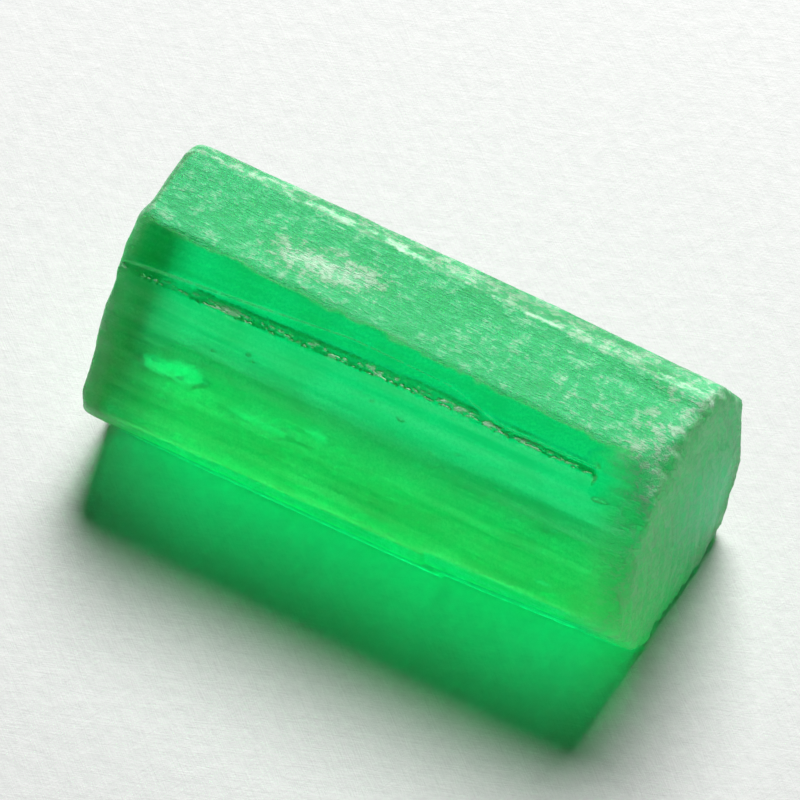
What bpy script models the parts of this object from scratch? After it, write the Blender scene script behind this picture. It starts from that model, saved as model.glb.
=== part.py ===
# Raw emerald crystal: one six-sided beryl prism broken off at both ends, lying on a prism face.
# X runs along the crystal's long axis, -Y is the front, and the bottom face rests at Z = 0.
# The origin is on the floor, under the middle of the crystal's bounding box.

import math
from collections import namedtuple

import bmesh
import bpy
from mathutils import Vector, geometry, noise

MM = 0.001

# Driving dimensions
LENGTH = 12.2 * MM  # along the prism, broken end to broken end
HEIGHT = 5.2 * MM  # floor to top face
AXIS_HEIGHT = HEIGHT / 2
SLICE_LENGTH = 0.28 * MM  # spacing of the cross-sections along the prism
LEFT_WEAR = 0.07 * MM  # worn corner around the left break
RIGHT_WEAR = 0.14 * MM  # worn corner around the right break
LEFT_END = -LENGTH / 2
RIGHT_END = LENGTH / 2

# The sides in order around the prism, seen as lines in the cross-section. Facing is the angle of
# the outward normal: 0 is the front (-Y), 90 is up, 180 is the back. Distance is from the axis at
# mid length, and drift is how much it grows per length. Strips divide the side for its relief.
Side = namedtuple("Side", "name facing distance drift strips relief")
SIDES = (
    Side("top", 90, HEIGHT - AXIS_HEIGHT, 0.0, 11, 0.022 * MM),
    Side("front_bevel", 60, 2.465 * MM, 0.017, 5, 0.006 * MM),
    Side("ledge_riser", 0, 0.0, 0.0, 1, 0.012 * MM),
    Side("ledge_tread", 60, 2.465 * MM, 0.017, 3, 0.01 * MM),
    Side("front", 30, 2.1 * MM, 0.013, 12, 0.012 * MM),
    Side("front_edge", 0, 2.81 * MM, 0.0, 2, 0.008 * MM),
    Side("lower_front", -30, 2.965 * MM, 0.0, 7, 0.015 * MM),
    Side("bottom", -90, AXIS_HEIGHT, 0.0, 8, 0.0),
    Side("lower_back", -150, 2.98 * MM, -0.006, 5, 0.025 * MM),
    Side("back", 180, 2.79 * MM, -0.002, 7, 0.025 * MM),
    Side("upper_back", 150, 2.88 * MM, -0.008, 7, 0.025 * MM),
    Side("back_bevel", 120, 2.96 * MM, -0.019, 3, 0.016 * MM),
)

# The ledge across the front bevel, left to right: how far in front of the axis its riser stands,
# and how deep its tread lies under the bevel.
LedgePoint = namedtuple("LedgePoint", "place front depth")
LEDGE = (
    LedgePoint(-6.1 * MM, 1.1 * MM, 0.09 * MM),
    LedgePoint(-3.4 * MM, 0.93 * MM, 0.085 * MM),
    LedgePoint(-0.9 * MM, 0.77 * MM, 0.05 * MM),
    LedgePoint(1.4 * MM, 0.84 * MM, 0.025 * MM),
    LedgePoint(2.6 * MM, 1.11 * MM, 0.05 * MM),
    LedgePoint(6.1 * MM, 1.12 * MM, 0.07 * MM),
)

# Growth steps across the prism: right of the place, these sides lie deeper.
STEP_RUN = 0.07 * MM
BACK_STEP = -2.6 * MM
LOWER_STEP = 1.75 * MM
Step = namedtuple("Step", "place depths")
STEPS = (
    Step(BACK_STEP, {"back": 0.05 * MM, "lower_back": 0.04 * MM}),
    Step(LOWER_STEP, {"lower_front": 0.07 * MM, "front_edge": 0.05 * MM}),
)

# Flat chips: right of the start, what lies beyond the plane through the point (in millimetres),
# on the side that it faces, is gone.
ANYWHERE = -math.inf
FLAKE_START = 4.78 * MM
Chip = namedtuple("Chip", "start point facing")
CHIPS = (
    Chip(FLAKE_START, (5.5, -1.12, 4.72), (0.06, -0.74, 0.67)),  # flake off the ledge
    Chip(LOWER_STEP, (2.0, -2.6, 1.32), (0.043, -0.866, -0.5)),  # lower front edge
    Chip(ANYWHERE, (5.62, -0.4, 5.2), (0.5, -0.34, 0.8)),  # worn corner, top front right
    Chip(ANYWHERE, (5.86, 1.98, 4.95), (0.66, 0.58, 0.48)),  # top back right
    Chip(ANYWHERE, (6.05, -1.9, 0.5), (0.75, -0.45, -0.48)),  # right end, low in front
    Chip(ANYWHERE, (5.98, 1.2, 0.12), (0.5, 0.1, -0.86)),  # under the right end
    Chip(ANYWHERE, (1.5, 1.85, 5.13), (0.025, 0.866, 0.5)),  # taper of the upper back
    Chip(ANYWHERE, (-6.06, 2.0, 4.9), (-0.62, 0.6, 0.5)),  # top back left
    Chip(ANYWHERE, (-6.0, -2.25, 0.75), (-0.7, -0.5, -0.5)),  # left end, low in front
    Chip(ANYWHERE, (-5.75, 2.45, 1.0), (-0.55, 0.6, -0.58)),  # left end, low at the back
)

# A groove in the top face beside the back bevel, with a lip between the two.
GROOVE_START = 3.9 * MM
GROOVE_DEPTH = 0.09 * MM
GROOVE_WIDTH = 0.24 * MM
GROOVE_FROM_EDGE = 0.36 * MM

STRIPE_WIDTH = 0.33 * MM  # growth stripes along the prism
STRIPE_LENGTH = 4.5 * MM
MOTTLE_SIZE = 0.7 * MM  # lumps of the etched top face
CHIP_RIPPLE = 0.04 * MM  # how far a chipped face strays from flat
SNAP = 0.02 * MM  # points of the mesh closer than this become one
SLIVER = 0.008 * MM  # triangles thinner than this are dissolved
BREAK_LATTICE = 0.31 * MM  # spacing of the points on a broken end
BREAK_MARGIN = 0.16 * MM


def facing_vector(side):
    angle = math.radians(side.facing)
    return Vector((-math.cos(angle), math.sin(angle)))


def step_amount(step, x):
    return min(max((x - step.place) / STEP_RUN, 0.0), 1.0)


def ledge_at(x):
    # The riser's place and the tread's depth, between the ledge points on both sides of x.
    for before, after in zip(LEDGE, LEDGE[1:]):
        if x <= after.place:
            break
    share = (x - before.place) / (after.place - before.place)
    front = before.front + (after.front - before.front) * share
    return front, before.depth + (after.depth - before.depth) * share


def side_distance(side, x, wear):
    distance = side.distance + side.drift * x - wear
    if side.name == "ledge_riser":
        distance += ledge_at(x)[0]
    if side.name == "ledge_tread":
        distance -= ledge_at(x)[1]
    for step in STEPS:
        distance -= step.depths.get(side.name, 0.0) * step_amount(step, x)
    return distance


def corner(first, second, x, wear):
    # Where the lines of two neighbouring sides meet in the cross-section at x.
    a = facing_vector(first)
    b = facing_vector(second)
    a_distance = side_distance(first, x, wear)
    b_distance = side_distance(second, x, wear)
    area = a.x * b.y - a.y * b.x
    return Vector(((a_distance * b.y - b_distance * a.y) / area,
                   (b_distance * a.x - a_distance * b.x) / area))


def relief(side, x, along, point):
    # Depth of the side's own growth stripes and mottling, seen from its flat plane.
    stripe = noise.noise(Vector((x / STRIPE_LENGTH, along / STRIPE_WIDTH, side.facing)))
    mottle = noise.noise(Vector((x, point.x, point.y)) / MOTTLE_SIZE)
    depth = side.relief * (0.6 + 0.9 * stripe + 0.5 * mottle)
    if side.name == "top":
        depth += groove(x, along)
    return abs(depth)


def groove(x, along):
    # The top side is measured from the back, so the groove lies near its start.
    grow = min(max((x - GROOVE_START) / (RIGHT_END - GROOVE_START), 0.0), 1.0)
    offset = (along - GROOVE_FROM_EDGE) / GROOVE_WIDTH
    return GROOVE_DEPTH * math.sqrt(grow) * max(1.0 - offset * offset, 0.0)


def section(x, wear):
    # Points around the cross-section at x, each side divided into its strips.
    points = []
    for index, side in enumerate(SIDES):
        before = SIDES[index - 1]
        after = SIDES[(index + 1) % len(SIDES)]
        start = corner(before, side, x, wear)
        end = corner(side, after, x, wear)
        width = (end - start).length
        for strip in range(side.strips):
            share = strip / side.strips
            flat = start.lerp(end, share)
            if strip == 0:
                inward = (facing_vector(before) + facing_vector(side)).normalized()
                depth = 0.5 * (relief(side, x, 0.0, flat) + before.relief)
                if 0.0 in (side.relief, before.relief):
                    depth = 0.0
            else:
                inward = facing_vector(side)
                depth = relief(side, x, share * width, flat)
            point = flat - inward * depth
            points.append(Vector((x, point.x, point.y + AXIS_HEIGHT)))
    return points


def slice_places():
    count = round(LENGTH / SLICE_LENGTH)
    places = {LEFT_END + LENGTH * index / count for index in range(2, count - 1)}
    for start in (BACK_STEP, LOWER_STEP, FLAKE_START):
        places = {place for place in places if abs(place - start) > STEP_RUN * 1.6}
        places |= {start, start + STEP_RUN}
    ends = {LEFT_END + LEFT_WEAR, LEFT_END + 3 * LEFT_WEAR}
    ends |= {RIGHT_END - RIGHT_WEAR, RIGHT_END - 2.5 * RIGHT_WEAR}
    return sorted(places | ends)


def left_break(y, z):
    # A stepped break: small flat plates at different depths.
    plates = noise.cell(Vector((y / (0.9 * MM), z / (0.75 * MM), 3.0)))
    lumps = noise.noise(Vector((y, z, 0.0)) / (0.6 * MM))
    swelling = math.exp(-((z - 2.8 * MM) / (0.8 * MM)) ** 2)
    return MM * (0.05 * (plates - 0.5) + 0.05 * lumps - 0.07 * swelling)


def right_break(y, z):
    # Shallow ribs that bend from the top of the end face down to its foot.
    bend = 7.0 * MM
    radius = math.hypot(y + bend, z - 0.6 * HEIGHT)
    ribs = math.sin(radius / (0.11 * MM) + 2.0 * noise.noise(Vector((y, z, 5.0)) / (1.1 * MM)))
    lumps = noise.noise(Vector((y, z, 9.0)) / (1.1 * MM))
    return MM * (0.015 * ribs + 0.05 * lumps)


def inside(y, z, x, margin):
    middle = Vector((y, z - AXIS_HEIGHT))
    return all(middle.dot(facing_vector(side)) < side_distance(side, x, margin)
               for side in SIDES if side.name != "ledge_riser")


def lattice(x, margin):
    # Staggered rows of points over the broken face, nudged off their rows.
    rows = []
    row_height = BREAK_LATTICE * math.sqrt(3) / 2
    reach = 3.2 * MM
    for row in range(1, int(HEIGHT / row_height) + 1):
        z = row * row_height
        y = -reach + (row % 2) * BREAK_LATTICE / 2
        while y < reach:
            nudge = noise.noise_vector(Vector((y, z, x)) / (0.37 * MM)) * BREAK_LATTICE * 0.3
            if inside(y + nudge.x, z + nudge.y, x, margin):
                rows.append(Vector((y + nudge.x, z + nudge.y)))
            y += BREAK_LATTICE
    return rows


def close_end(bm, ring, x, break_relief):
    # Fill the ring with triangles over the lattice, then push every point to its broken depth.
    outline = [Vector((vert.co.y, vert.co.z)) for vert in ring]
    inner = lattice(x, BREAK_MARGIN)
    edges = [(index, (index + 1) % len(ring)) for index in range(len(ring))]
    places, _, triangles, sources, _, _ = geometry.delaunay_2d_cdt(
        outline + inner, edges, [], 1, 1e-9)
    verts = []
    for place, source in zip(places, sources):
        if source and source[0] < len(ring):
            verts.append(ring[source[0]])
        else:
            verts.append(bm.verts.new((x, place.x, place.y)))
    for triangle in triangles:
        bm.faces.new([verts[index] for index in triangle])
    for vert in verts:
        vert.co.x += break_relief(vert.co.y, vert.co.z)


def apply_chips(bm):
    # Cut the mesh along each chip's plane, then press what lies beyond it back onto the plane.
    for chip in CHIPS:
        point = Vector(chip.point) * MM
        facing = Vector(chip.facing).normalized()
        start = chip.start + STEP_RUN / 2
        faces = [face for face in bm.faces if all(vert.co.x > start for vert in face.verts)]
        edges = dict.fromkeys(edge for face in faces for edge in face.edges)
        verts = dict.fromkeys(vert for face in faces for vert in face.verts)
        bmesh.ops.bisect_plane(
            bm, geom=[*verts, *edges, *faces], dist=SNAP, plane_co=point, plane_no=facing)
        for vert in bm.verts:
            beyond = (vert.co - point).dot(facing)
            if beyond > 0.0 and vert.co.x > start:
                ripple = abs(noise.noise(vert.co / (0.5 * MM))) * CHIP_RIPPLE
                vert.co -= facing * (beyond + min(beyond * 0.3, ripple))
    bmesh.ops.remove_doubles(bm, verts=bm.verts, dist=SNAP)


def settle(bm):
    # Flatten what dips under the resting plane, then centre the box over the origin.
    for vert in bm.verts:
        vert.co.z = max(vert.co.z, 0.0)
    low = [min(vert.co[axis] for vert in bm.verts) for axis in range(3)]
    high = [max(vert.co[axis] for vert in bm.verts) for axis in range(3)]
    shift = Vector(((low[0] + high[0]) / 2, (low[1] + high[1]) / 2, low[2]))
    bmesh.ops.translate(bm, verts=bm.verts, vec=-shift)


def crystal_mesh():
    bm = bmesh.new()
    sections = [section(LEFT_END, LEFT_WEAR)]
    sections += [section(place, 0.0) for place in slice_places()]
    sections.append(section(RIGHT_END, RIGHT_WEAR))
    rings = [[bm.verts.new(point) for point in points] for points in sections]
    for ring, next_ring in zip(rings, rings[1:]):
        for index in range(len(ring)):
            following = (index + 1) % len(ring)
            bm.faces.new((ring[index], ring[following], next_ring[following], next_ring[index]))
    close_end(bm, rings[0], LEFT_END, left_break)
    close_end(bm, rings[-1], RIGHT_END, right_break)
    apply_chips(bm)
    settle(bm)
    bmesh.ops.triangulate(bm, faces=bm.faces, quad_method="SHORT_EDGE")
    bmesh.ops.dissolve_degenerate(bm, dist=SLIVER, edges=bm.edges)
    bmesh.ops.triangulate(bm, faces=bm.faces)
    bmesh.ops.recalc_face_normals(bm, faces=bm.faces)
    mesh = bpy.data.meshes.new("emerald_crystal")
    bm.to_mesh(mesh)
    bm.free()
    return mesh


def emerald_material():
    material = bpy.data.materials.new("emerald")
    material.use_nodes = True
    shader = material.node_tree.nodes["Principled BSDF"]
    shader.inputs["Base Color"].default_value = (0.02, 0.62, 0.17, 1.0)
    shader.inputs["Roughness"].default_value = 0.35
    shader.inputs["Metallic"].default_value = 0.0
    shader.inputs["IOR"].default_value = 1.58
    shader.inputs["Transmission Weight"].default_value = 0.6
    return material


def main():
    for old in list(bpy.data.objects):
        bpy.data.objects.remove(old, do_unlink=True)
    mesh = crystal_mesh()
    mesh.materials.append(emerald_material())
    crystal = bpy.data.objects.new("emerald_crystal", mesh)
    bpy.context.scene.collection.objects.link(crystal)


main()
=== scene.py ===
import math
import random

import bmesh
import bpy
import numpy as np
from mathutils import Matrix, Quaternion, Vector, kdtree, noise


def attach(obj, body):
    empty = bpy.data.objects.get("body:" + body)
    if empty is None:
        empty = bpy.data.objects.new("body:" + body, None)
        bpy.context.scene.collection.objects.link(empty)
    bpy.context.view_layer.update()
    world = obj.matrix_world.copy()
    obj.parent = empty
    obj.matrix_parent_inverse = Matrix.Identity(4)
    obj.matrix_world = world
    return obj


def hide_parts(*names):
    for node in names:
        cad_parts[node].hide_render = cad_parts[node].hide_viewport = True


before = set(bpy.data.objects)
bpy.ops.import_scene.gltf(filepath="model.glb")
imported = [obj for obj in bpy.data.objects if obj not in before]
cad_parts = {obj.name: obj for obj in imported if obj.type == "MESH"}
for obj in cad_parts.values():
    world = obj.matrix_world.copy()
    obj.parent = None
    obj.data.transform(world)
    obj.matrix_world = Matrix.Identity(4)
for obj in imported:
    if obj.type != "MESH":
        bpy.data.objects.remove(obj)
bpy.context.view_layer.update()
mm = 0.001
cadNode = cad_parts["emerald_crystal"]


def say(stage):
    print("stage:", stage)


def linear(hexColour):
    # sRGB hex to the linear colour that shaders work in
    channels = [int(hexColour[i:i + 2], 16) / 255 for i in (1, 3, 5)]
    return [c / 12.92 if c <= 0.04045 else ((c + 0.055) / 1.055) ** 2.4 for c in channels] + [1.0]


def addNode(tree, kind, settings=None, links=None):
    # one node: settings are its properties, links its inputs, joined up or given a value
    node = tree.nodes.new(kind)
    for name, value in (settings or {}).items():
        setattr(node, name, value)
    for name, value in (links or {}).items():
        if isinstance(value, bpy.types.NodeSocket):
            tree.links.new(value, node.inputs[name])
        else:
            node.inputs[name].default_value = value
    return node


def newMaterial(name):
    material = bpy.data.materials.new(name)
    material.use_nodes = True
    material.node_tree.nodes.clear()
    return material, material.node_tree


stage = {
    "cameraAzimuth": 29.3,  # degrees round from the front
    "cameraHeight": 54.0,  # degrees above the floor
    "cameraDistance": 260 * mm,
    "pixelsPerMm": 50.0,
    "target": (-0.235 * mm, 0.01 * mm, 2.4 * mm),
    "keyHeading": 14.4,  # degrees left of straight behind
    "keyHeight": 46.1,
    "keyTurn": -20.0,
    "keyDistance": 250 * mm,
    "keySize": (129 * mm, 101 * mm),
    "keyPower": 0.88,
    "fill": 0.012,  # what little the room adds
    "backdrop": 0.85,  # how bright the far wall looks
}


def direction(azimuth, height):
    # unit vector from the crystal: azimuth 0 is the front, 180 straight behind
    a, h = math.radians(azimuth), math.radians(height)
    return Vector((math.sin(a) * math.cos(h), -math.cos(a) * math.cos(h), math.sin(h)))


def makeCamera():
    sensorWidth, frameWidth = 36.0, 800
    data = bpy.data.cameras.new("camera")
    data.sensor_width = sensorWidth
    data.lens = stage["pixelsPerMm"] * stage["cameraDistance"] / mm * sensorWidth / frameWidth
    camera = bpy.data.objects.new("camera", data)
    back = direction(stage["cameraAzimuth"], stage["cameraHeight"])
    camera.location = Vector(stage["target"]) + back * stage["cameraDistance"]
    camera.rotation_euler = back.to_track_quat("Z", "Y").to_euler()
    bpy.context.scene.collection.objects.link(camera)
    bpy.context.scene.camera = camera


def makeLight():
    say("one broad soft light from behind")
    data = bpy.data.lights.new("softbox", "AREA")
    data.shape = "ELLIPSE"
    data.size, data.size_y = stage["keySize"]
    data.energy = stage["keyPower"]
    light = bpy.data.objects.new("softbox", data)
    towards = direction(180 + stage["keyHeading"], stage["keyHeight"])
    light.location = towards * stage["keyDistance"]
    turned = Quaternion((0, 0, 1), math.radians(stage["keyTurn"]))
    light.rotation_euler = (towards.to_track_quat("Z", "Y") @ turned).to_euler()
    bpy.context.scene.collection.objects.link(light)
    world = bpy.data.worlds.new("studio")
    world.use_nodes = True
    tree = world.node_tree
    tree.nodes.clear()
    path = addNode(tree, "ShaderNodeLightPath")
    strength = addNode(tree, "ShaderNodeMix", {"data_type": "FLOAT"},
                       {0: path.outputs["Is Camera Ray"], 2: stage["fill"], 3: stage["backdrop"]})
    sky = addNode(tree, "ShaderNodeBackground", None,
                  {"Color": linear("#ffffff"), "Strength": strength.outputs[0]})
    addNode(tree, "ShaderNodeOutputWorld", None, {"Surface": sky.outputs[0]})
    bpy.context.scene.world = world
    bpy.context.scene.view_settings.view_transform = "Standard"


floor = {
    "half": 1.0,
    "drop": 0.004 * mm,  # the air gap under the crystal's resting face
    "tone": "#f1f2f0",
    "toneDark": "#e9ebe9",
    "pulp": 0.30 * mm,  # clumps of pulp
    "fibreLength": 0.8 * mm,
    "fibreWidth": 0.08 * mm,
    "fibreLies": (0.35, 1.25, 2.4),  # radians, the ways that the fibres lie
    "relief": 0.022 * mm,
}


def makeFloor():
    say("paper")
    half = floor["half"]
    mesh = bpy.data.meshes.new("paper")
    corners = [(-half, -half), (half, -half), (half, half), (-half, half)]
    mesh.from_pydata([(x, y, -floor["drop"]) for x, y in corners], [], [(0, 1, 2, 3)])
    # pressed cotton paper: felted pulp under loose fibres, so it is matt with a faint grain
    material, tree = newMaterial("pressedPaper")
    where = addNode(tree, "ShaderNodeTexCoord")
    pulp = addNode(tree, "ShaderNodeTexNoise", None, {
        "Vector": where.outputs["Object"], "Scale": 1 / floor["pulp"], "Detail": 4.0, "Roughness": 0.6})
    layers = []
    for turn in floor["fibreLies"]:
        lie = addNode(tree, "ShaderNodeMapping", {"vector_type": "TEXTURE"}, {
            "Vector": where.outputs["Object"], "Rotation": (0, 0, turn),
            "Scale": (floor["fibreLength"], floor["fibreWidth"], 1.0)})
        layers.append(addNode(tree, "ShaderNodeTexNoise", None, {
            "Vector": lie.outputs[0], "Scale": 1.0, "Detail": 2.0, "Distortion": 1.6}))
    fibre = addNode(tree, "ShaderNodeMath", {"operation": "ADD"},
                    {0: layers[0].outputs[0], 1: layers[1].outputs[0]})
    fibre = addNode(tree, "ShaderNodeMath", {"operation": "ADD"},
                    {0: fibre.outputs[0], 1: layers[2].outputs[0]})
    grain = addNode(tree, "ShaderNodeMath", {"operation": "MULTIPLY_ADD"},
                    {0: fibre.outputs[0], 1: 0.33, 2: pulp.outputs[0]})
    tone = addNode(tree, "ShaderNodeMapRange", None, {0: grain.outputs[0], 1: 0.75, 2: 1.2})
    colour = addNode(tree, "ShaderNodeMix", {"data_type": "RGBA"}, {
        0: tone.outputs[0], 6: linear(floor["toneDark"]), 7: linear(floor["tone"])})
    bump = addNode(tree, "ShaderNodeBump", None, {
        "Height": grain.outputs[0], "Distance": floor["relief"], "Strength": 0.7})
    surface = addNode(tree, "ShaderNodeBsdfPrincipled", None, {
        "Base Color": colour.outputs[2], "Roughness": 0.85, "Specular IOR Level": 0.3,
        "Normal": bump.outputs[0]})
    addNode(tree, "ShaderNodeOutputMaterial", None, {"Surface": surface.outputs[0]})
    mesh.materials.append(material)
    piece = bpy.data.objects.new("floor", mesh)
    bpy.context.scene.collection.objects.link(piece)


crystal = {
    # mm, the longest edges of the skin on each side
    "grain": {"ledge": 0.05, "top": 0.085, "ends": 0.11, "front": 0.12, "back": 0.17, "base": 0.3},
    "rounds": 5,  # halvings at most
    "ledgeStrip": 0.20,  # mm to either side of the ledge ridge
    "ridgeAngle": 17.0,  # degrees between faces that counts as a ridge
    "nextTo": 0.25,  # mm, longer edges don't pull the skin along
    "easing": 6,  # passes that round the solid's small flats into one skin
    "endWear": 45,  # passes that soften the rim of the broken end
    "wear": 2,  # passes that round the ridges themselves
    "frostRelief": 0.020,  # mm, scratchy relief of the frosted faces
    "swell": 0.012,  # mm, the top's slow unevenness, and how deep its bruises lie
    "glassRelief": 0.007,  # mm, growth lines of the bright faces
    "wave": 0.01,  # mm, their slow unevenness
    "breakRelief": 0.050,  # mm, hackle on the broken ends
    "lip": 0.03,  # mm, the crumbled lip that stands on the ledge ridge
    # mm along the length, where that lip is whitest
    "crumbled": [(1.35, 2.15), (2.30, 2.72), (3.05, 3.60), (-4.0, -3.1)],
    "grooveAt": 0.27,  # mm behind the ledge ridge
    "grooveWidth": 0.035,
    "grooveDepth": 0.01,
    # mm, middle and half sizes along and across: two white bruises on top, and a clean spot below
    "whitePatch": (-2.1, 0.38, 1.25, 0.36),
    "endStreak": (5.5, 1.30, 0.55, 0.09),
    "window": (-5.2, 0.8, 0.8, 0.3),
    "frost": {"behind": 0.80, "leftEnd": 0.1, "corner": 0.85, "leftRim": 0.45, "foot": 0.6,
              "nearEnd": 0.7, "crumbs": 0.6},
    "milk": {"top": 0.44, "bevel": 0.24, "behind": 0.06, "end": 0.38, "shoulder": 0.36,
             "base": 0.58, "nearEnd": 0.35, "fray": 0.45, "corner": 0.60, "rim": 0.40,
             "bruise": 0.9, "crumbs": 0.55},
    "pale": {"end": 0.90, "top": 0.09, "bevel": 0.42, "corner": 0.5, "foot": 0.5, "rim": 0.5,
             "nearEnd": 0.3},
    "shade": 0.5,  # painted shadow: how strongly the groove's dark line is tinted
}


def edgesOf(places, faces):
    # each edge once, which edges lie on each face's sides, and the normals of the two faces that meet
    sides = np.sort(faces[:, [[0, 1], [1, 2], [2, 0]]].reshape(-1, 2), axis=1)
    keys, which = np.unique(sides[:, 0] * len(places) + sides[:, 1], return_inverse=True)
    edges = np.stack([keys // len(places), keys % len(places)], axis=1)
    a, b, c = (places[faces[:, i]] for i in range(3))
    normals = np.cross(b - a, c - a)
    normals /= np.maximum(np.linalg.norm(normals, axis=1), 1e-12)[:, None]
    pairs = normals[np.argsort(which, kind="stable").reshape(-1, 2) // 3]
    return edges, which.reshape(-1, 3), pairs


def wantedLength(normals):
    # how long an edge may stay on a face that looks this way
    nx, ny, nz = np.moveaxis(normals, -1, 0)
    grain = crystal["grain"]
    want = np.where((ny < -0.2) | (nz > 0.5), grain["front"], grain["back"])
    want = np.where(abs(nx) > 0.6, grain["ends"], want)
    want = np.where(nz > 0.95, grain["top"], want)
    return np.where(nz < -0.95, grain["base"], want)


def ridgeBetween(pairs, low, high):
    # the edges where a side facing low degrees meets one facing high, 0 the front and 90 up
    facings = np.sort(np.degrees(np.arctan2(pairs[:, :, 2], -pairs[:, :, 1])), axis=1)
    sharp = np.sum(pairs[:, 0] * pairs[:, 1], axis=1) < math.cos(math.radians(crystal["ridgeAngle"]))
    return sharp & (abs(facings[:, 0] - low) < 9) & (abs(facings[:, 1] - high) < 9)


def fineMesh():
    # the solid's own mesh, its edges halved until each is short enough for the detail on its side
    bm = bmesh.new()
    bm.from_mesh(cadNode.data)
    bmesh.ops.remove_doubles(bm, verts=bm.verts, dist=1e-7)
    bm.verts.index_update()
    places = np.array([v.co for v in bm.verts]) / mm
    faces = np.array([[v.index for v in f.verts] for f in bm.faces])
    bm.free()
    edges, sides, pairs = edgesOf(places, faces)
    ledge = places[edges[ridgeBetween(pairs, 30, 60)]]
    ledge = np.concatenate([ledge[:, 0] + (ledge[:, 1] - ledge[:, 0]) * t for t in np.linspace(0, 1, 6)])
    for _ in range(crystal["rounds"]):
        ends = places[edges]
        want = wantedLength(pairs).min(axis=1)
        want[nearness(ends.mean(axis=1), ledge) < crystal["ledgeStrip"]] = crystal["grain"]["ledge"]
        cut = np.linalg.norm(ends[:, 0] - ends[:, 1], axis=1) > want
        middles = len(places) + np.cumsum(cut) - 1
        places = np.vstack([places, ends[cut].mean(axis=1)])
        cuts = cut[sides]
        number = cuts.sum(axis=1)
        # turn each face so that its uncut side, or its only cut one, comes where the split expects it
        first = np.where(number == 2, (np.argmin(cuts, axis=1) + 1) % 3, np.argmax(cuts, axis=1))
        order = (first[:, None] + np.arange(3)) % 3
        a, b, c = np.take_along_axis(faces, order, axis=1).T
        m, n, o = np.take_along_axis(middles[sides], order, axis=1).T
        short = np.linalg.norm(places[a] - places[n], axis=1) < np.linalg.norm(places[m] - places[c], axis=1)
        one, two, three = number == 1, number == 2, number == 3
        new = [faces[number == 0]]
        for chosen, corners in (
                (one, [(a, m, c), (m, b, c)]), (two, [(m, b, n)]),
                (two & short, [(a, m, n), (a, n, c)]), (two & ~short, [(a, m, c), (m, n, c)]),
                (three, [(a, m, o), (m, b, n), (o, n, c), (m, n, o)])):
            new += [np.stack(corner, axis=1)[chosen] for corner in corners]
        faces = np.vstack(new)
        edges, sides, pairs = edgesOf(places, faces)
    return places, edges, faces, pairs


def meanOfNeighbours(values, edges, count):
    total = np.zeros_like(values)
    number = np.zeros(count)
    for a, b in (edges.T, edges.T[::-1]):
        np.add.at(total, a, values[b])
        np.add.at(number, a, 1)
    return total / np.maximum(number, 1)[:, None]


def skinNormals(places, faces):
    a, b, c = (places[faces[:, i]] for i in range(3))
    flat = np.cross(b - a, c - a)
    normals = np.zeros_like(places)
    for i in range(3):
        np.add.at(normals, faces[:, i], flat)
    return normals / np.maximum(np.linalg.norm(normals, axis=1), 1e-12)[:, None]


def pattern(places, sizes, octaves=3, shift=0.0):
    # fractal noise about -1..1 with features of the given sizes in mm
    scaled = (places + shift) / np.array(sizes)
    return np.array([noise.fractal(p, 1.0, 2.0, octaves) for p in scaled.tolist()])


def ramp(values, low, high):
    t = np.clip((values - low) / (high - low), 0, 1)
    return t * t * (3 - 2 * t)


def nearness(places, ridge):
    # distance in mm from each place to the nearest point of a ridge
    tree = kdtree.KDTree(len(ridge))
    for i, p in enumerate(ridge.tolist()):
        tree.insert(p, i)
    tree.balance()
    return np.array([tree.find(p)[2] for p in places.tolist()])


def wearDown(places, edges, ridgeEdges):
    # the small flats eased into one skin between their ridges, then the ridges and end rims worn
    count = len(places)
    lengths = np.linalg.norm(places[edges[:, 0]] - places[edges[:, 1]], axis=1)
    edges = edges[lengths < crystal["nextTo"]]
    ridgeSteps = np.bincount(ridgeEdges.ravel(), minlength=count)
    onRidge, midRidge = ridgeSteps > 0, ridgeSteps == 2
    for _ in range(crystal["easing"]):
        mean = meanOfNeighbours(places, edges, count)
        places = np.where(onRidge[:, None], places, places + 0.6 * (mean - places))
        along = meanOfNeighbours(places, ridgeEdges, count)
        places = np.where(midRidge[:, None], places + 0.35 * (along - places), places)
    for _ in range(crystal["wear"]):
        places = places + 0.45 * (meanOfNeighbours(places, edges, count) - places)
    x, y, z = places.T
    worn = ramp(x, 5.0, 5.9) * ramp(z, 0.3, 0.8) * ramp(-y, -1.4, -0.4)
    worn = np.maximum(worn, 0.3 * ramp(-x, 5.5, 5.9) * ramp(z, 0.3, 0.8))
    for _ in range(crystal["endWear"]):
        places = places + 0.5 * worn[:, None] * (meanOfNeighbours(places, edges, count) - places)
    return places


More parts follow.
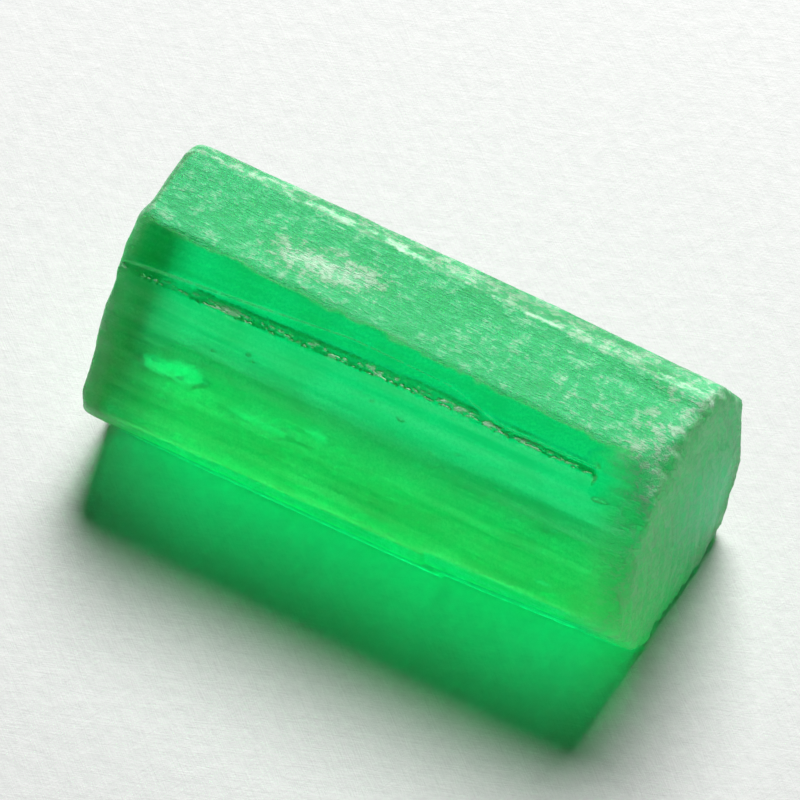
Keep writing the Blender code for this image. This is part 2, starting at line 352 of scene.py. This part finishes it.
def shapeSkin():
    # the skin's places and faces, and how frosted, milky or pale each place is
    places, edges, faces, pairs = fineMesh()
    count = len(places)
    say("skin of %d faces" % len(faces))
    sharp = np.sum(pairs[:, 0] * pairs[:, 1], axis=1) < math.cos(math.radians(crystal["ridgeAngle"]))
    ledge, topFront, topBack, foot = (
        np.unique(edges[ridgeBetween(pairs, low, high)])
        for low, high in ((30, 60), (60, 90), (90, 120), (-30, 0)))
    places = wearDown(places, edges, edges[sharp])
    normals = skinNormals(places, faces)
    toLedge, toTopFront, toTopBack, toFoot = (
        nearness(places, places[ridge]) for ridge in (ledge, topFront, topBack, foot))
    frosty, milky, paler = crystal["frost"], crystal["milk"], crystal["pale"]
    x, y, z = places.T
    nx, ny, nz = normals.T
    ends = ramp(abs(nx), 0.45, 0.8)
    rightEnd, leftEnd = ends * (x > 0), ends * (x < 0)
    facing = np.degrees(np.arctan2(nz, -ny))
    say("frost and scuffs")
    ragged = pattern(places, (0.7, 0.16, 0.16), 4)
    fine = pattern(places, (0.28, 0.09, 0.09), 2, 7.3)
    # frosted: the top, the back bevel and the right end, the back more lightly, the left end hardly
    top = ramp(nz, 0.93, 0.985)
    bevel = ramp(ny, 0.15, 0.45) * ramp(nz, 0.6, 0.75)
    behind = frosty["behind"] * ramp(ny, 0.15, 0.45) * (0.2 + 0.8 * ramp(nz, -0.35, -0.1))
    shoulder = ramp(ny, 0.15, 0.45) * ramp(nz, 0.3, 0.6)
    frost = np.maximum(np.maximum(np.maximum(top, bevel), behind), rightEnd)
    frost = np.maximum(frost, frosty["leftEnd"] * leftEnd)
    # its border frays over the ridge to the clear front bevel
    fray = ramp(0.13 - toTopFront + 0.10 * ragged, 0.0, 0.09) * ramp(nz, 0.8, 0.87)
    frost = np.maximum(frost * ramp(toTopFront + 0.07 * ragged * (nz < 0.99), -0.02, 0.03), fray)
    # it runs round the worn corner and a little way down both ends
    corner = ramp(x + 0.35 * ragged + 0.25 * (z - 4.2), 4.9, 6.0)
    frost = np.maximum(frost, frosty["corner"] * corner)
    frost = np.maximum(frost, frosty["leftRim"] * ramp(-x + 0.12 * ragged, 5.55, 6.0))
    # the ledge ridge is crumbled in runs, with a fine groove behind it that also carries a painted shadow
    # line
    chips = pattern(places, (0.12, 0.06, 0.06), 2, 21.0)
    strength = 0.35 + 0.25 * pattern(places, (1.2, 4, 4), 1, 3.1)
    for start, end in crystal["crumbled"]:
        run = ramp(x, start - 0.1, start + 0.05) * ramp(-x, -end - 0.1, -end + 0.05)
        strength = np.maximum(strength, run)
    strength *= ramp(-x, -4.9, -4.3)
    onTread = ramp(nz, 0.62, 0.72)
    crumbs = ramp(0.20 - toLedge + 0.07 * ragged, 0.0, 0.06)
    crumbs = crumbs * ramp(chips + 0.7 * strength - 0.50, -0.1, 0.15) * (strength > 0)
    offGroove = (toLedge - crystal["grooveAt"] - 0.03 * ragged) / crystal["grooveWidth"]
    groove = np.exp(-offGroove ** 2) * onTread * ramp(-x, -5.0, -4.6)
    # bruised white: the patch on top, the lip at the back and a streak by the end
    px, py, rx, ry = crystal["whitePatch"]
    patch = np.exp(-((x - px) / rx) ** 4 - ((y - py - 0.06 * (x - px)) / ry) ** 2) * top
    bruise = patch * ramp(ragged + 0.5 * fine, -2.0, -0.5)
    patches = ramp(pattern(places, (0.9, 0.25, 0.25), 3, 31.0), 0.0, 0.35)
    lip = ramp(0.34 - toTopBack, 0.0, 0.12) * patches * ramp(facing, 92, 104)
    bruise = np.maximum(bruise, 0.8 * lip)
    px, py, rx, ry = crystal["endStreak"]
    streak = np.exp(-((x - px) / rx) ** 4 - ((y - py + 0.09 * (x - px)) / ry) ** 2) * ramp(nz, 0.5, 0.8)
    bruise = np.maximum(bruise, streak * ramp(fine, -0.5, 0.1))
    footEdge = ramp(0.09 - toFoot + 0.05 * ragged, 0.0, 0.06)
    frost = np.maximum(frost, frosty["foot"] * footEdge)
    # the resting face is scuffed in patches, and its frost is what throws the glow forward
    base = ramp(-z, -0.03, -0.01)
    scuff = 0.50 - 0.28 * ramp(y, -0.6, 0.8) + 0.15 * pattern(places, (1.3, 0.5, 1.0), 2, 61.0)
    frost = np.maximum(frost * (1 - base), np.clip(scuff, 0.05, 0.6) * base)
    # milk is the share of light the crushed skin throws straight back
    blotch = np.maximum(1 + 0.9 * pattern(places, (1.1, 0.4, 0.4), 3, 41.0), 0.1)
    nearEnd = ramp(x + 0.2 * pattern(places, (0.8, 0.8, 0.8), 2, 51.0), 4.9, 6.1) * ramp(-ny, 0.3, 0.6)
    frost = np.maximum(frost, frosty["nearEnd"] * nearEnd)
    milk = (milky["top"] * top * (0.75 + 0.25 * blotch) + milky["bevel"] * bevel +
            milky["behind"] * behind + milky["end"] * rightEnd)
    milk = np.maximum(milk, milky["shoulder"] * shoulder * blotch)
    # crushed and milky along the middle of the resting face, but for a clean window near the left end
    px, py, rx, ry = crystal["window"]
    window = np.exp(-((x - px) / rx) ** 2 - ((y - py) / ry) ** 2)
    mottle = 1 + 0.5 * pattern(places, (1.6, 0.45, 1.0), 3, 71.0)
    crushed = milky["base"] * np.exp(-((y + 0.05) / 1.2) ** 2) * mottle * (1 - window)
    milk = np.maximum(milk * (1 - base), np.clip(crushed, 0, 0.9) * base)
    milk = np.maximum(milk, milky["nearEnd"] * nearEnd)
    milk = np.maximum(milk, milky["fray"] * fray * (x > -5.6))
    milk = np.maximum(milk, milky["corner"] * corner * ramp(nz, 0.5, 0.8))
    rim = ramp(-x + 0.12 * ragged - 0.06 * (z - 2), 5.45, 6.0)
    milk = np.maximum(milk, milky["rim"] * rim)
    milk = np.maximum(milk, milky["bruise"] * bruise)
    # pale is how far its colour goes to white
    pale = paler["end"] * rightEnd + paler["top"] * top * blotch + paler["bevel"] * bevel * blotch
    pale = np.clip(np.maximum(pale, paler["corner"] * corner * ramp(nz, 0.5, 0.8)), 0, 1)
    for share, mark in ((paler["foot"], footEdge), (paler["rim"], rim), (paler["nearEnd"], nearEnd),
                        (1.0, bruise)):
        pale = np.maximum(pale, share * mark)
    say("relief")
    relief = frost * (1 - ends) * crystal["frostRelief"] * (0.6 * ragged + 0.4 * fine)
    relief += top * crystal["swell"] * pattern(places, (2.2, 0.8, 0.8), 2, 11.0)
    relief -= bruise * crystal["swell"] * ramp(fine, -0.2, 0.4) + crystal["grooveDepth"] * groove
    glass = (1 - frost) * (1 - ends)
    relief += glass * crystal["glassRelief"] * pattern(places, (5.0, 0.22, 0.22), 2, 5.0)
    relief += glass * crystal["wave"] * pattern(places, (2.6, 1.1, 1.1), 1, 17.0)
    # the broken end is fibrous, its fibres fanning from top to bottom
    fan = np.stack([x, y + 0.10 * (z - 2.6) ** 2, z], axis=1)
    relief += rightEnd * crystal["breakRelief"] * pattern(fan, (0.5, 0.13, 1.3), 3, 2.0)
    relief += leftEnd * 0.3 * crystal["breakRelief"] * pattern(places, (0.3, 0.5, 0.35), 3, 9.0)
    aboveFoot = ramp(z, 0.0, 0.06)
    places = places + normals * (relief * aboveFoot)[:, None]
    # the crumbled lip stands up along the ledge ridge, and is white where it looks up
    lift = np.where(onTread > 0.5, ramp(0.18 - toLedge, 0.0, 0.18), ramp(0.05 - toLedge, 0.0, 0.05))
    places[:, 2] += crystal["lip"] * crumbs * lift
    crumbs *= ramp(skinNormals(places, faces)[:, 2], 0.60, 0.78)
    milk = np.maximum(milk, milky["crumbs"] * crumbs)
    pale = np.maximum(pale, crumbs)
    frost = np.maximum(frost, frosty["crumbs"] * crumbs)
    places[:, 2] = np.maximum(places[:, 2], 0.0)
    warm = ramp(nz, 0.15, 0.35) * ramp(-ny, 0.2, 0.4)
    # shade is the painted shadow along the groove, tinted in by the material
    return places, faces, {"frost": frost, "milk": milk, "pale": pale, "base": base, "warm": warm,
                           "shade": crystal["shade"] * groove}


flaws = {
    "seed": 7,
    "wallFrost": 0.4,
    "ripple": 0.09,  # of a crack's half width
    "apart": 1.5,  # two cracks keep their half sizes times this between them
    "layer": 0.15,  # mm, or this much height
    "tries": 1000,
    # healed cracks in swarms: middle and half spread in mm, how many, half sizes of one, and tilt
    # and turn in degrees
    "healed": [
        ((-4.56, -1.24, 2.27), (0.00, 0.00, 0.00), 1, (0.80, 0.34), 3, 0),
        ((-4.80, -1.48, 1.86), (0.00, 0.00, 0.00), 1, (0.45, 0.07), 4, 6),
        ((-2.45, -1.40, 2.05), (0.00, 0.00, 0.00), 1, (0.95, 0.12), 4, 3),
        ((-1.19, -1.27, 2.31), (0.00, 0.00, 0.00), 1, (0.34, 0.13), 3, -4),
        ((4.37, -2.40, 2.28), (0.00, 0.00, 0.00), 1, (0.26, 0.06), 3, 4),
        ((5.05, -1.40, 4.30), (0.00, 0.00, 0.00), 1, (0.22, 0.07), 3, 4),
        ((-4.56, -1.10, 2.60), (0.70, 0.20, 0.06), 7, (0.10, 0.04), 4, 0),
        ((-2.00, -1.35, 2.45), (1.50, 0.20, 0.25), 14, (0.14, 0.03), 4, 0),
        ((2.60, -1.45, 2.70), (2.20, 0.30, 0.60), 18, (0.14, 0.03), 4, 0),
    ],
    # glints close under the front face: place along the length, height and size in mm
    "glints": [
        (-3.57, 3.83, 0.030), (-3.65, 3.51, 0.035), (-2.83, 4.05, 0.040), (-2.71, 3.96, 0.030),
        (-1.05, 3.69, 0.025), (1.49, 3.85, 0.050), (1.51, 3.58, 0.035), (1.98, 4.02, 0.030),
        (3.44, 3.34, 0.055), (3.58, 3.48, 0.030), (4.18, 3.43, 0.045), (4.35, 3.46, 0.050),
        (0.63, 4.16, 0.045), (-0.04, 4.26, 0.030), (0.75, 3.39, 0.025), (-4.71, 3.18, 0.040),
        (-4.09, 3.07, 0.035), (-3.54, 3.16, 0.035), (-4.28, 2.56, 0.040), (-1.65, 3.03, 0.045),
        (-1.50, 2.93, 0.045),
    ],
    "glintDepth": 0.12,  # mm
    "frontFace": (2.1, 0.013, 2.6),  # mm from the axis, its drift along the length, the axis's height
}


def addFlaw(places, faces, middle, half, tilt, turn, wave, number):
    # a healed crack: a thin closed lens of gas in the crystal, with its skin facing into the lens
    isGlint = max(half) < 0.1
    rings, spokes, bulge = (2, 10, 0.10 * half[1]) if isGlint else (5, 24, 0.05 * half[1])
    made = []

    def spot(u, v, lift):
        ripple = noise.fractal((u * 5, v * 12, number * 5.1), 1.0, 2.0, 2)
        return u, v, wave * ripple + lift

    for side in (1, -1):
        for ring in range(1, rings + (side == 1)):
            r = ring / rings
            for k in range(spokes):
                a = 2 * math.pi * k / spokes
                edge = 1 + 0.45 * noise.fractal((math.cos(a) * 1.6, math.sin(a) * 1.6, number * 3.7),
                                                1.0, 2.0, 3)  # a ragged outline
                made.append(spot(math.cos(a) * r * edge * half[0], math.sin(a) * r * edge * half[1],
                                 side * bulge * (1 - r * r)))
    made += [spot(0, 0, bulge), spot(0, 0, -bulge)]
    upper = [[ring * spokes + k for k in range(spokes)] for ring in range(rings)]
    lower = [[(rings + ring) * spokes + k for k in range(spokes)] for ring in range(rings - 1)]
    lower.append(upper[-1])  # the two sheets share their rim
    cells = []
    for sheet, centre, flip in ((upper, len(made) - 2, True), (lower, len(made) - 1, False)):
        for k in range(spokes):
            n = (k + 1) % spokes
            fan = [(centre, sheet[0][k], sheet[0][n])]
            for inner, outer in zip(sheet, sheet[1:]):
                fan += [(inner[k], outer[k], outer[n]), (inner[k], outer[n], inner[n])]
            cells += [c[::-1] if flip else c for c in fan]
    lie = Matrix.Rotation(math.radians(turn), 3, "Z") @ Matrix.Rotation(math.radians(tilt), 3, "X")
    spots = np.array([lie @ Vector(m) + Vector(middle) for m in made])
    return np.vstack([places, spots]), np.vstack([faces, np.array(cells) + len(places)])


def skinMesh():
    places, faces, masks = shapeSkin()
    say("flaws inside")
    chance = random.Random(flaws["seed"])
    apart, number, taken = flaws["apart"], 0, []
    for middle, spread, count, half, tilt, turn in flaws["healed"]:
        for _ in range(count):
            number += 1
            size = [h * (chance.uniform(0.5, 1.1) if count > 1 else 1.0) for h in half]
            for _ in range(flaws["tries"]):
                # two cracks never meet, or the glass between them would turn inside out
                spot = [m + chance.uniform(-1, 1) * s for m, s in zip(middle, spread)]
                if not any(abs(p[0] - spot[0]) < apart * (q[0] + size[0]) and
                           abs(p[1] - spot[1]) < apart * (q[1] + size[1]) and
                           abs(p[2] - spot[2]) < flaws["layer"] for p, q in taken):
                    break
            else:
                continue  # no room left for this one
            taken.append((spot, size))
            places, faces = addFlaw(places, faces, spot, size, tilt + chance.uniform(-0.5, 1.0),
                                    turn + chance.uniform(-5, 5), flaws["ripple"] * size[1], number)
    fromAxis, drift, axisHeight = flaws["frontFace"]
    sine, cosine, deep = 0.5, 0.866, flaws["glintDepth"]  # the front face looks up by 30 degrees
    for x, z, size in flaws["glints"]:
        number += 1
        y = -(fromAxis + drift * x - sine * (z - axisHeight)) / cosine
        places, faces = addFlaw(places, faces, (x - 0.03, y + deep, z - deep), (size * 2.0, size * 1.4),
                                chance.uniform(3, 5), chance.uniform(-15, 15), 0, number)
    mesh = bpy.data.meshes.new("emeraldSkin")
    mesh.from_pydata((places * mm).tolist(), [], faces.tolist())
    for name, values in masks.items():
        inner = np.full(len(places) - len(values), flaws["wallFrost"] if name == "frost" else 0.0)
        whole = np.append(values, inner)
        mesh.attributes.new(name, "FLOAT", "POINT").data.foreach_set("value", whole.astype(np.float32))
    # the resting face is one true plane: shaded flat, or the rounded rim would bend it
    flat = (places[faces][:, :, 2] < 1e-6).all(axis=1)
    mesh.polygons.foreach_set("use_smooth", (~flat).tolist())
    return mesh


emerald = {
    "index": 1.58,
    "absorbColour": (0.0, 0.989, 0.825, 1.0),
    "absorbDensity": 1100.0,  # per metre, so red is gone in about 1 mm
    "clearTint": "#fbfefb",
    "warmTint": "#dffdd6",
    "frostTint": "#55ffae",
    "paleTint": "#c8f8d2",
    "baseTint": "#f0fcf2",
    "bandTint": "#a2d8aa",
    # the colour of the painted shadow along the groove
    "shadeTint": "#7caabb",
    "grainSize": 0.06 * mm,  # pinpoint haze
    "bandLength": 3.2 * mm,  # growth bands along the crystal
    "bandWidth": 0.12 * mm,
    "cloudSize": 1.1 * mm,
    "glassRoughness": 0.31,  # beryl's prism faces are etched fine all over
    "frostRoughness": 0.66,
    "specular": 0.2,
    "clearBump": 0.05,
    "frostBump": 0.8,
    "strokeLength": 0.30 * mm,
    "strokeWidth": 0.055 * mm,
    "pitSize": 0.22 * mm,
    "biteDepth": 0.02 * mm,
    # where each pattern starts and ends, and what it grows to
    "etchRange": (0.70, 1.02),
    "milkSpread": (0.65, 1.45),
    "fleckRange": (0.45, 1.0, 6.0),
    "bandRange": (0.80, 1.12, 0.9),
    "hazeRange": (0.40, 0.62, 0.7),
}


def tintTowards(tree, share, tint, hexColour):
    # the tint, mixed towards another colour
    mix = addNode(tree, "ShaderNodeMix", {"data_type": "RGBA"}, {0: share, 6: tint, 7: linear(hexColour)})
    return mix.outputs[2]


def emeraldMaterial():
    # natural beryl, etched and scuffed: milky where it is frosted, glass where the faces grew clean
    material, tree = newMaterial("etchedBeryl")
    where = addNode(tree, "ShaderNodeTexCoord")
    frost, milk, pale, base, warm, shade = (
        addNode(tree, "ShaderNodeAttribute", {"attribute_name": name}).outputs["Fac"]
        for name in ("frost", "milk", "pale", "base", "warm", "shade"))
    stretch = addNode(tree, "ShaderNodeMapping", None, {
        "Vector": where.outputs["Object"],
        "Scale": (1 / emerald["strokeLength"], 1 / emerald["strokeWidth"], 1 / emerald["strokeWidth"])})
    strokes = addNode(tree, "ShaderNodeTexNoise", None, {
        "Vector": stretch.outputs[0], "Scale": 1.0, "Detail": 5.0, "Roughness": 0.65, "Distortion": 1.2})
    pits = addNode(tree, "ShaderNodeTexNoise", None, {
        "Vector": where.outputs["Object"], "Scale": 1 / emerald["pitSize"], "Detail": 5.0, "Roughness": 0.7})
    etch = addNode(tree, "ShaderNodeMath", {"operation": "MULTIPLY_ADD"},
                   {0: strokes.outputs[0], 1: 0.7, 2: pits.outputs[0]})
    etch = addNode(tree, "ShaderNodeMapRange", None, {
        0: etch.outputs[0], 1: emerald["etchRange"][0], 2: emerald["etchRange"][1]}).outputs[0]
    # the milk gathers on the stroke tops, so the top face reads as scratched and not as fog
    share = addNode(tree, "ShaderNodeMapRange", None, {
        0: etch, 3: emerald["milkSpread"][0], 4: emerald["milkSpread"][1]})
    cloud = addNode(tree, "ShaderNodeMath", {"operation": "MULTIPLY", "use_clamp": True},
                    {0: milk, 1: share.outputs[0]})
    clear = addNode(tree, "ShaderNodeMath", {"operation": "SUBTRACT"}, {0: 1.0, 1: cloud.outputs[0]})
    low, high, most = emerald["fleckRange"]
    flecks = addNode(tree, "ShaderNodeMapRange", None, {0: etch, 1: low, 2: high, 4: most})
    soft = addNode(tree, "ShaderNodeMath", {"operation": "MULTIPLY"}, {0: pale, 1: pale})
    white = addNode(tree, "ShaderNodeMath", {"operation": "MULTIPLY"}, {0: pale, 1: flecks.outputs[0]})
    white = addNode(tree, "ShaderNodeMath", {"operation": "MULTIPLY_ADD", "use_clamp": True},
                    {0: soft.outputs[0], 1: 0.6, 2: white.outputs[0]})
    along = addNode(tree, "ShaderNodeMapping", None, {
        "Vector": where.outputs["Object"],
        "Scale": (1 / emerald["bandLength"], 1 / emerald["bandWidth"], 1 / emerald["bandWidth"])})
    bands = addNode(tree, "ShaderNodeTexNoise", None, {
        "Vector": along.outputs[0], "Scale": 1.0, "Detail": 4.0, "Roughness": 0.6, "Distortion": 0.5})
    clouds = addNode(tree, "ShaderNodeTexNoise", None, {
        "Vector": where.outputs["Object"], "Scale": 1 / emerald["cloudSize"], "Detail": 3.0,
        "Distortion": 0.8})
    bands = addNode(tree, "ShaderNodeMath", {"operation": "MULTIPLY_ADD"},
                    {0: clouds.outputs[0], 1: 0.8, 2: bands.outputs[0]})
    low, high, most = emerald["bandRange"]
    bands = addNode(tree, "ShaderNodeMapRange", None, {0: bands.outputs[0], 1: low, 2: high, 4: most})
    haze = addNode(tree, "ShaderNodeTexNoise", None, {
        "Vector": where.outputs["Object"], "Scale": 1 / emerald["grainSize"], "Detail": 2.0,
        "Roughness": 0.8})
    low, high, most = emerald["hazeRange"]
    haze = addNode(tree, "ShaderNodeMapRange", None, {0: haze.outputs[0], 1: low, 2: high, 4: most})
    tint = linear(emerald["clearTint"])
    # shade with shadeTint paints the groove's shadow line; the other tints are the stone's own colour
    for part, name in ((warm, "warmTint"), (bands.outputs[0], "bandTint"), (haze.outputs[0], "bandTint"),
                       (shade, "shadeTint"), (frost, "frostTint"), (white.outputs[0], "paleTint"),
                       (base, "baseTint")):
        tint = tintTowards(tree, part, tint, emerald[name])
    rough = addNode(tree, "ShaderNodeMapRange", None, {
        0: frost, 3: emerald["glassRoughness"], 4: emerald["frostRoughness"]})
    depth = addNode(tree, "ShaderNodeMapRange", None, {
        0: frost, 3: emerald["clearBump"], 4: emerald["frostBump"]})
    bump = addNode(tree, "ShaderNodeBump", None, {
        "Height": etch, "Distance": emerald["biteDepth"], "Strength": depth.outputs[0]})
    shader = addNode(tree, "ShaderNodeBsdfPrincipled", None, {
        "Base Color": tint, "Roughness": rough.outputs[0], "IOR": emerald["index"],
        "Transmission Weight": clear.outputs[0], "Specular IOR Level": emerald["specular"],
        "Normal": bump.outputs[0]})
    absorb = addNode(tree, "ShaderNodeVolumeAbsorption", None, {
        "Color": emerald["absorbColour"], "Density": emerald["absorbDensity"]})
    addNode(tree, "ShaderNodeOutputMaterial", None,
            {"Surface": shader.outputs[0], "Volume": absorb.outputs[0]})
    return material


def makeCrystal():
    say("crystal")
    mesh = skinMesh()
    mesh.materials.append(emeraldMaterial())
    piece = bpy.data.objects.new("rawEmerald", mesh)
    bpy.context.scene.collection.objects.link(piece)
    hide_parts("emerald_crystal")
    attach(piece, "root")


makeCamera()
makeLight()
makeFloor()
makeCrystal()
